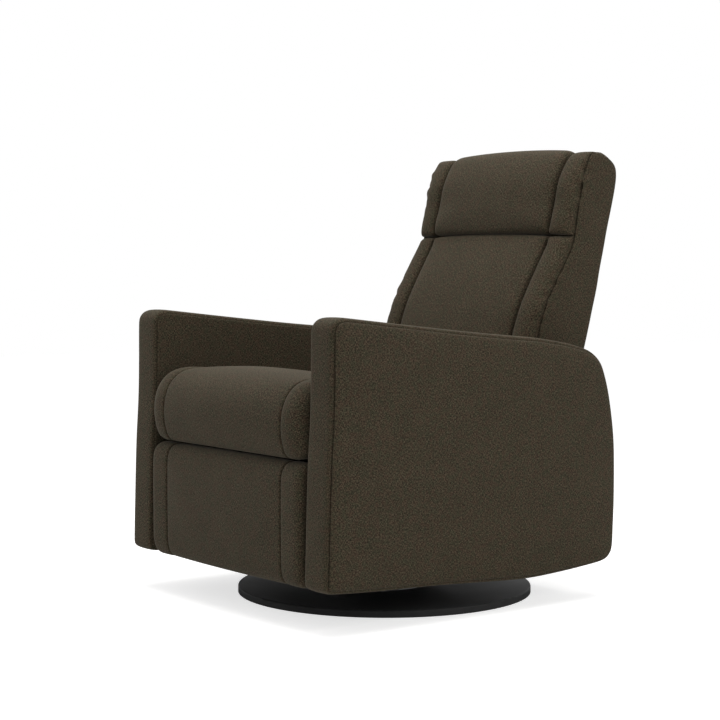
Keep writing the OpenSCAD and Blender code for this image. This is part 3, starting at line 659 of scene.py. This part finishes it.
backForm = {
    "seam": 0.196, "seamGap": 0.0032, "boxing": 0.2560, "spacing": 0.007, "fine": 0.006, "crease": 0.774,
    "cap": 0.005, "seamHold": 0.009,
    "lumbarRest": (0.420, 0.762, 0.010),  # low, high, and how far behind the outer seam, the cover is held
    "headRest": (0.782, 0.378),           # low and behind
    "spine": [(0.215, 0.405), (0.221, 0.430), (0.257, 0.560), (0.309, 0.690), (0.348, 0.790),
              (0.374, 0.870), (0.392, 0.925)],
    "lumbar": [(0.160, 0.392), (0.158, 0.440), (0.164, 0.500), (0.1865, 0.561), (0.208, 0.619),
               (0.231, 0.663), (0.2615, 0.715), (0.2825, 0.7490), (0.2900, 0.7620), (0.2940, 0.7690),
               (0.3000, 0.7722), (0.3350, 0.7728), (0.3640, 0.7720), (0.3740, 0.7640), (0.3660, 0.7300),
               (0.3380, 0.6200), (0.3090, 0.5000), (0.2860, 0.4050), (0.2760, 0.3900), (0.2400, 0.3870),
               (0.1850, 0.3860)],
    "head": [(0.2935, 0.7920), (0.2960, 0.8100), (0.3070, 0.8450), (0.3175, 0.8900), (0.3345, 0.9270),
             (0.3505, 0.9500), (0.3680, 0.9600), (0.3850, 0.9600), (0.4000, 0.9520), (0.4080, 0.9350),
             (0.4020, 0.9000), (0.3880, 0.8500), (0.3770, 0.8000), (0.3700, 0.7800), (0.3500, 0.7755),
             (0.3170, 0.7755), (0.2990, 0.7800)],
    # the strips beside the panels: their ring at the panels' seam, and at the seam with the outer cover
    "stripLines": {
        "Lumbar": ([(0.1700, 0.4050), (0.1650, 0.4400), (0.1690, 0.5000), (0.1860, 0.5610),
                    (0.2075, 0.6190), (0.2305, 0.6630), (0.2612, 0.7150), (0.2825, 0.7490),
                    (0.2900, 0.7620), (0.2940, 0.7690), (0.3010, 0.7722), (0.3300, 0.7728),
                    (0.3500, 0.7710), (0.3520, 0.7600), (0.3200, 0.6200), (0.2800, 0.4700),
                    (0.2600, 0.4080), (0.2100, 0.4020)],
                   [(0.1980, 0.4050), (0.1940, 0.4500), (0.1990, 0.5000), (0.2105, 0.5590),
                    (0.2200, 0.5960), (0.2365, 0.6360), (0.2605, 0.6750), (0.2905, 0.7230),
                    (0.3025, 0.7400), (0.3110, 0.7570), (0.3165, 0.7725), (0.3260, 0.7735),
                    (0.3500, 0.7720), (0.3520, 0.7600), (0.3200, 0.6200), (0.2800, 0.4700),
                    (0.2600, 0.4080), (0.2300, 0.4020)]),
        "Head": ([(0.2985, 0.7775), (0.2940, 0.7835), (0.2945, 0.7950), (0.2985, 0.8120), (0.3075, 0.8430),
                  (0.3180, 0.8900), (0.3360, 0.9260), (0.3550, 0.9500), (0.3720, 0.9570), (0.3880, 0.9550),
                  (0.4000, 0.9350), (0.3900, 0.8800), (0.3700, 0.8000), (0.3600, 0.7790), (0.3400, 0.7755),
                  (0.3150, 0.7755)],
                 [(0.3155, 0.7755), (0.3160, 0.7840), (0.3175, 0.7960), (0.3205, 0.8120), (0.3270, 0.8430),
                  (0.3355, 0.8850), (0.3455, 0.9220), (0.3590, 0.9450), (0.3750, 0.9560), (0.3900, 0.9530),
                  (0.4000, 0.9350), (0.3900, 0.8800), (0.3700, 0.8000), (0.3600, 0.7790), (0.3450, 0.7750),
                  (0.3300, 0.7745)]),
    },
    # round to the outer seam: (distance in from it, how much of the way to its line)
    "turn": [(0.0, 1.22), (0.0006, 0.94), (0.0024, 0.66), (0.0062, 0.42), (0.0118, 0.22), (0.0185, 0.09),
             (0.0270, 0.0)],
    "tuck": 0.0150, "seamHalf": 0.0012,
    "lumbarCrown": 0.007, "headCrown": 0.008,
    # the outer cover: down the front seam, which has the first points, then up the rear
    "frontPoints": 13,
    "shell": [(0.3620, 0.9520), (0.3415, 0.9050), (0.3265, 0.8400), (0.3170, 0.7880), (0.3095, 0.7550),
              (0.2945, 0.7280), (0.2605, 0.6750), (0.2365, 0.6360), (0.2200, 0.5960), (0.2105, 0.5590),
              (0.2010, 0.5000), (0.1965, 0.4500), (0.1950, 0.4050), (0.2040, 0.3830), (0.2500, 0.3760),
              (0.2950, 0.3740), (0.3110, 0.3800), (0.3180, 0.4000), (0.3325, 0.4500), (0.3550, 0.5250),
              (0.3675, 0.5680), (0.3795, 0.6120), (0.3915, 0.6550), (0.4010, 0.6990), (0.4120, 0.7430),
              (0.4220, 0.7860), (0.4340, 0.8300), (0.4450, 0.8740), (0.4495, 0.9050), (0.4460, 0.9270),
              (0.4330, 0.9420), (0.4140, 0.9530), (0.3950, 0.9590), (0.3770, 0.9585)],
    "panelEdge": [(0.0002, -0.0150), (0.0010, -0.0096), (0.0026, -0.0062), (0.0046, -0.0062),
                  (0.0058, -0.0120)],
    "panelShares": [(0.0058, 0.80), (0.0062, 0.60), (0.0062, 0.45), (0.0062, 0.30)],
    "band": [(0.0002, -0.0150), (0.0010, -0.0080), (0.0026, -0.0032), (0.0056, -0.0002), (0.0120, 0.0015),
             (0.0250, 0.0020)],
    "frontSet": 0.0120, "rearCrown": 0.006, "stations": 18,
    "gatherReach": 0.028, "gatherDepth": 0.0115, "gatherWave": 0.015, "gatherStretch": 0.4,
    # gathers are strongest at two heights: (height, reach, strength)
    "gatherHead": (0.895, 0.075, 1.0), "gatherBend": (0.640, 0.070, 0.6), "gatherLeast": 0.12,
}


def frontLine(z):
    # where the outer cover's front seam lies at a height
    line = backForm["shell"][:backForm["frontPoints"]]
    for (y1, z1), (y0, z0) in zip(line, line[1:]):
        if z0 <= z <= z1:
            return y0 + (y1 - y0) * (z - z0) / (z1 - z0)
    return line[0][0] if z > line[0][1] else line[-1][0]


def gathered(co):
    # gathers sit beside the outer seam, most of all at the head and where the back bends
    form = backForm
    away = math.hypot(co.y - frontLine(co.z), abs(co.x) - form["boxing"])
    near = max(0.0, 1 - away / form["gatherReach"])
    strength = form["gatherLeast"]
    for height, reach, share in (form["gatherHead"], form["gatherBend"]):
        strength += share * max(0.0, 1 - abs(co.z - height) / reach)
    return near * min(1.0, strength)


def pucker(piece):
    # small gathers beside the outer seam
    form = backForm
    wave, stretch = form["gatherWave"], form["gatherStretch"]
    mesh = piece.data
    moves = []
    for v in mesh.vertices:
        share = gathered(v.co)
        bump = noise.noise((v.co.x / wave * stretch, v.co.y / wave, v.co.z / wave)) if share > 0 else 0.0
        moves.append(v.normal * (bump * share * form["gatherDepth"]))
    for v, move in zip(mesh.vertices, moves):
        v.co += move


def buildBackStrip(sideName, part):
    form = backForm
    start, end = form["seam"] + form["seamGap"], form["boxing"] - form["seamHalf"]
    innerLine, outerLine = form["stripLines"][part]
    length = sum((Vector(a) - Vector(b)).length for a, b in zip(innerLine, innerLine[1:]))
    inner, outer = (smoothRing(line, None, round(length / form["fine"])) for line in (innerLine, outerLine))
    taken = besideCrease(inner, form["crease"])
    stations = [(start + d, shiftRing(inner, [out * t for t in taken])) for d, out in rolls["deep"]]
    stations += [(end - d, mixRings(inner, outer, share)) for d, share in reversed(form["turn"])]
    stations.append((end + form["seamHalf"] / 2, shiftRing(outer, -form["tuck"])))
    stations = closeEnds(stations, form["spine"])
    strip = loft("backStrip" + part + sideName.title(), [(x * sides[sideName], r) for x, r in stations])
    pucker(strip)
    finishPad(strip, "back", ["back_bolster_" + sideName])


def buildBackCover():
    # the outer cover: side panels, rear panel and, set back behind the pads, a plain front
    form = backForm
    boxing, edge, shares = form["boxing"], form["panelEdge"], form["panelShares"]
    ring = smoothRing(form["shell"], form["fine"])
    rear, front = towards(ring, (1.0, -0.2)), towards(ring, (-1.0, 0.35), 0.0, 0.3)
    left, right = (endPanel(ring, side * boxing, side, edge, shares, form["spine"]) for side in (1, -1))
    start = [(-boxing + x, out) for x, out in form["band"]]
    inside, innerOut = boxing - form["band"][-1][0], form["band"][-1][1]
    count = form["stations"]
    spots = start + [(-inside + 2 * inside * k / count, innerOut) for k in range(1, count)]
    spots += [(-x, out) for x, out in reversed(start)]
    middle = []
    for x, out in spots:
        rise = form["rearCrown"] * max(0.0, 1 - (x / inside) ** 2)
        skin = [out + rise * r - form["frontSet"] * f for f, r in zip(front, rear)]
        middle.append((x, shiftRing(ring, skin)))
    cover = loft("backCover", right[::-1] + middle + left)
    pucker(cover)
    finishPad(cover, "back", ["back_cover"])


def buildBack():
    form = backForm
    half = form["seam"] - form["seamGap"]
    low, high, behind = form["lumbarRest"]
    headLow, headBehind = form["headRest"]
    lumbar = dict(form, outline=form["lumbar"], crown=form["lumbarCrown"], way=(-1.0, 0.35))
    lumbar["held"] = lambda co: co.z < low or co.z > high or co.y > frontLine(co.z) + behind
    head = dict(form, outline=form["head"], crown=form["headCrown"], way=(-0.8, 0.6), spine=None)
    head["held"] = lambda co: co.z < headLow or co.y > headBehind
    buildPad("lumbarCushion", lumbar, -half, half, "back", ["lumbar_cushion"], "deep", "deep")
    buildPad("headCushion", head, -half, half, "back", ["head_cushion"], "deep", "deep")
    for sideName in sides:
        for part in form["stripLines"]:
            buildBackStrip(sideName, part)
    buildBackCover()


buildBack()
print("back made")


# footrest

footForm = {
    "halfWidth": 0.2795, "seam": 0.2140, "seamGap": 0.0008, "spacing": 0.010,
    "crown": 0.003, "way": (-1.0, 0.1),
    "sideCrown": 0.0015, "cap": 0.003, "seamHold": 0.009,
    "rest": (-0.400, 0.112, 0.312),  # behind, below and above these the cover is held
    "outline": [(-0.4000, 0.3278), (-0.4125, 0.3225), (-0.4212, 0.3090), (-0.4240, 0.2880),
                (-0.4245, 0.2400), (-0.4245, 0.1900), (-0.4240, 0.1300), (-0.4218, 0.1070),
                (-0.4145, 0.0915), (-0.4020, 0.0845), (-0.3850, 0.0835), (-0.3760, 0.0865),
                (-0.3730, 0.1000), (-0.3725, 0.1500), (-0.3725, 0.2100), (-0.3725, 0.2700),
                (-0.3730, 0.3140), (-0.3770, 0.3265), (-0.3860, 0.3288)],
}


def buildFootrest():
    form = footForm
    half = form["seam"] - form["seamGap"]
    behind, low, high = form["rest"]
    held = lambda co: co.y > behind or co.z > high or co.z < low
    buildPad("footrestPad", dict(form, held=held), -half, half, "footrest", ["footrest_pad"])
    buildSides("footrest", form, "footrest", "edge")


buildFootrest()
print("footrest made")


# apron behind the seat

apronForm = {
    "halfWidth": 0.2865, "spacing": 0.011, "crown": 0.002, "way": (1.0, 0.0),
    "outline": [(0.3005, 0.1000), (0.3000, 0.1500), (0.3000, 0.2200), (0.3000, 0.2900), (0.3005, 0.3380),
                (0.3050, 0.3440), (0.3130, 0.3440), (0.3180, 0.3390), (0.3190, 0.2900), (0.3190, 0.2200),
                (0.3190, 0.1500), (0.3180, 0.1010), (0.3130, 0.0955), (0.3055, 0.0955)],
}
half = apronForm["halfWidth"]
buildPad("rearApron", apronForm, -half, half, "chassis", ["rear_apron"])
print("apron made")


# release lever, on the right arm

leverForm = {
    "pivot": (-0.150, 0.330), "length": 0.109, "droop": 8.0, "inside": 0.3692, "outside": 0.3790,
    "hub": 0.0145, "end": 0.0115, "edge": 0.0022, "spacing": 0.0030,
    "hubArc": [(-1.0, 0.0), (-0.75, 0.66), (0.0, 1.0)],  # the hub's rear half, as shares of its radius
    # from the pivot to the tip: (share of the length, half width)
    "widths": [(0.22, 0.0085), (0.50, 0.0085), (0.85, 0.0115), (1.0, 0.010925)],
    "hollow": (0.0012, 0.0010, 0.94),  # in the outer face: its depth, how far in, and its size as a share
    # the round plate that the lever's shaft comes through: (x, radius)
    "plate": [(0.3655, 0.0), (0.3655, 0.0230), (0.3672, 0.0230), (0.3684, 0.0212), (0.3684, 0.0180),
              (0.3674, 0.0168), (0.3674, 0.0)],
    "plateSteps": 48,
}


def buildLever():
    form = leverForm
    pivot = Vector(form["pivot"])
    droop = math.radians(form["droop"])
    way = Vector((-math.cos(droop), -math.sin(droop)))
    up = Vector((-way.y, way.x)) * -1
    upper = [pivot + way * form["hub"] * a + up * form["hub"] * w for a, w in form["hubArc"]]
    upper += [pivot + way * form["length"] * share + up * width for share, width in form["widths"]]
    tip = pivot + way * (form["length"] + form["end"])
    lower = [p - up * 2 * (p - pivot).dot(up) for p in upper[1:]]
    ring = smoothRing([*upper, tip, *lower[::-1]], form["spacing"])
    inside, outside, edge = form["inside"], form["outside"], form["edge"]
    rounds = [(0.0, -edge), (edge * 0.3, -edge * 0.3), (edge, 0.0)]
    stations = [(inside + d, shiftRing(ring, out)) for d, out in rounds]
    stations += [(outside - d, shiftRing(ring, out)) for d, out in reversed(rounds)]
    depth, inset, share = form["hollow"]
    stations.append((outside - depth, shrinkRing(shiftRing(ring, -edge - inset), share)))
    lever = loft("releaseLever", [(-x, r) for x, r in stations])
    roundOff(lever)
    place(lever, "release", "lever_black", finishes["lever_black"], "release_lever")

    plate = bmesh.new()
    dots = [plate.verts.new((-x, pivot.x, pivot.y + r)) for x, r in form["plate"]]
    edges = [plate.edges.new(pair) for pair in zip(dots, dots[1:])]
    bmesh.ops.spin(plate, geom=dots + edges, cent=(0, pivot.x, pivot.y), axis=(1, 0, 0), angle=2 * math.pi,
                   steps=form["plateSteps"], use_merge=True)
    bmesh.ops.remove_doubles(plate, verts=plate.verts, dist=0.00001)
    bmesh.ops.recalc_face_normals(plate, faces=plate.faces)
    place(finishMesh("leverPlate", plate), "chassis", "lever_black", finishes["lever_black"])


buildLever()
print("lever made")


# stage

stageLook = {
    "halfSize": 9.0, "grey": 0.80, "speckle": 1.01, "speckleScale": 300.0, "glow": 0.66,
    "worldStrength": 0.43,
}


def makeStage():
    look = stageLook
    form = bmesh.new()
    bmesh.ops.create_grid(form, x_segments=1, y_segments=1, size=look["halfSize"])
    floor = finishMesh("floor", form)
    material, tree, shader = newMaterial("floorPaper", Roughness=0.95, Specular_IOR_Level=0.1)
    seen = add(tree, "ShaderNodeLightPath").outputs["Is Camera Ray"]
    grey = look["grey"]
    speckle = noiseValue(tree, objectCoords(tree), look["speckleScale"])
    setColour(tree, shader, speckle, [(0.3, (grey, grey, grey)), (0.7, (grey * look["speckle"],) * 3)])
    strength = calc(tree, "MULTIPLY", seen, look["glow"])
    glow = add(tree, "ShaderNodeEmission", {"Color": (1, 1, 1, 1), "Strength": strength})
    both = add(tree, "ShaderNodeAddShader", {0: shader.outputs[0], 1: glow.outputs[0]})
    tree.links.new(both.outputs[0], tree.nodes["Material Output"].inputs["Surface"])
    floor.data.materials.append(material)

    # a white backdrop that lights the chair less than it shows
    world = bpy.data.worlds.new("studio")
    scene.world = world
    world.use_nodes = True
    sky = world.node_tree
    path = add(sky, "ShaderNodeLightPath").outputs
    mirrored = calc(sky, "MAXIMUM", path["Is Glossy Ray"], path["Is Transmission Ray"])
    seen = calc(sky, "MAXIMUM", path["Is Camera Ray"], mirrored)
    strength = calc(sky, "MULTIPLY_ADD", seen, 1.0 - look["worldStrength"], look["worldStrength"])
    backdrop = sky.nodes["Background"]
    backdrop.inputs["Color"].default_value = (1, 1, 1, 1)
    sky.links.new(strength, backdrop.inputs["Strength"])


lamps = [  # name, place, size, power, colour
    ("overhead", (0.2, -0.1, 3.2), 2.6, 69, (1.0, 0.985, 0.96)),
    ("rightFill", (2.8, 0.3, 1.5), 2.0, 15.5, (1.0, 0.99, 0.97)),
    ("leftFill", (-1.5, -1.7, 1.3), 1.6, 5.0, (1.0, 0.99, 0.97)),
]
lampTarget = Vector((0, 0, 0.45))


def makeLamps():
    for name, spot, size, power, colour in lamps:
        lamp = bpy.data.lights.new(name, "AREA")
        lamp.shape = "SQUARE"
        lamp.size = size
        lamp.energy = power
        lamp.color = colour
        holder = bpy.data.objects.new(name, lamp)
        holder.location = spot
        holder.rotation_euler = (lampTarget - Vector(spot)).to_track_quat("-Z", "Y").to_euler()
        scene.collection.objects.link(holder)


cameraView = {
    "place": (3.0954, -2.3997, 0.7252),
    "back": (0.79728, -0.60094, 0.056595),  # the way from the chair to the lens
    "lens": 90.0,
    "sensor": 36,
}


def makeCamera():
    data = bpy.data.cameras.new("camera")
    data.sensor_width = cameraView["sensor"]
    data.lens = cameraView["lens"]
    camera = bpy.data.objects.new("camera", data)
    camera.location = cameraView["place"]
    camera.rotation_euler = (-Vector(cameraView["back"])).to_track_quat("-Z", "Y").to_euler()
    scene.collection.objects.link(camera)
    scene.camera = camera


makeStage()
makeLamps()
makeCamera()
print("stage made")
